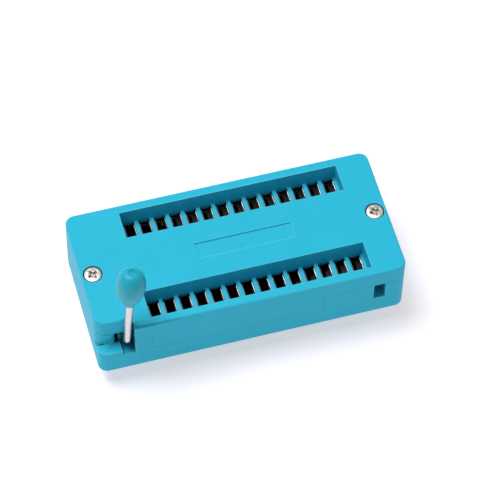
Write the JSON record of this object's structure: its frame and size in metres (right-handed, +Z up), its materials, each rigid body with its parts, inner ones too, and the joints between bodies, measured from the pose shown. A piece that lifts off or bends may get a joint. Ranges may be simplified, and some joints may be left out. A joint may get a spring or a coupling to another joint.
{
  "type": "zero insertion force socket",
  "caption": "Zero-insertion-force board socket for wide dual-in-line chips, with a fold-down lever that shifts an inner slide to close and open its sprung contacts.",
  "frame": {"origin": "middle of the contact grid on the board's surface, halfway between the two rows and halfway along them", "axes": "+X along the rows, from the lever's end to the plain end; +Y across the rows, away from the lever's upright; +Z up, out of the board"},
  "size_m": [0.05, 0.0242, 0.0287],
  "materials": {
    "housing_plastic": "moulded glass-filled polysulphone, satin",
    "slide_plastic": "moulded glass-filled nylon, matt black",
    "knob_plastic": "overmoulded, cloudy and slightly see-through",
    "lever_steel": "drawn stainless wire",
    "screw_steel": "bright nickel plate",
    "contact_metal": "tin-plated phosphor bronze strip"
  },
  "bodies": {
    "housing": {"base": "housing_plastic", "cover": "housing_plastic", "screw_lever_end": "screw_steel", "screw_plain_end": "screw_steel", "contact_front_1": "contact_metal", "contact_front_2": "contact_metal", "contact_front_3": "contact_metal", "contact_front_4": "contact_metal", "contact_front_5": "contact_metal", "contact_front_6": "contact_metal", "contact_front_7": "contact_metal", "contact_front_8": "contact_metal", "contact_front_9": "contact_metal", "contact_front_10": "contact_metal", "contact_front_11": "contact_metal", "contact_front_12": "contact_metal", "contact_front_13": "contact_metal", "contact_front_14": "contact_metal", "contact_rear_1": "contact_metal", "contact_rear_2": "contact_metal", "contact_rear_3": "contact_metal", "contact_rear_4": "contact_metal", "contact_rear_5": "contact_metal", "contact_rear_6": "contact_metal", "contact_rear_7": "contact_metal", "contact_rear_8": "contact_metal", "contact_rear_9": "contact_metal", "contact_rear_10": "contact_metal", "contact_rear_11": "contact_metal", "contact_rear_12": "contact_metal", "contact_rear_13": "contact_metal", "contact_rear_14": "contact_metal"},
    "lever": {"lever_rod": "lever_steel", "lever_knob": "knob_plastic"},
    "contact_slide": {"slide": "slide_plastic"}
  },
  "joints": [
    {"name": "lever_hinge", "type": "hinge", "parent": "housing", "child": "lever", "pos_m": [-0.02191, 0, 0.006], "axis": [0, -1, 0], "range_deg": [0, 93.5]},
    {"name": "slide_shift", "type": "slide", "parent": "housing", "child": "contact_slide", "axis": [1, 0, 0], "range_m": [-0.00061183, 0]}
  ],
  "couplings": [
    {"joint": "lever_hinge", "follows": "slide_shift", "rad_per_m": -2667.2}
  ]
}
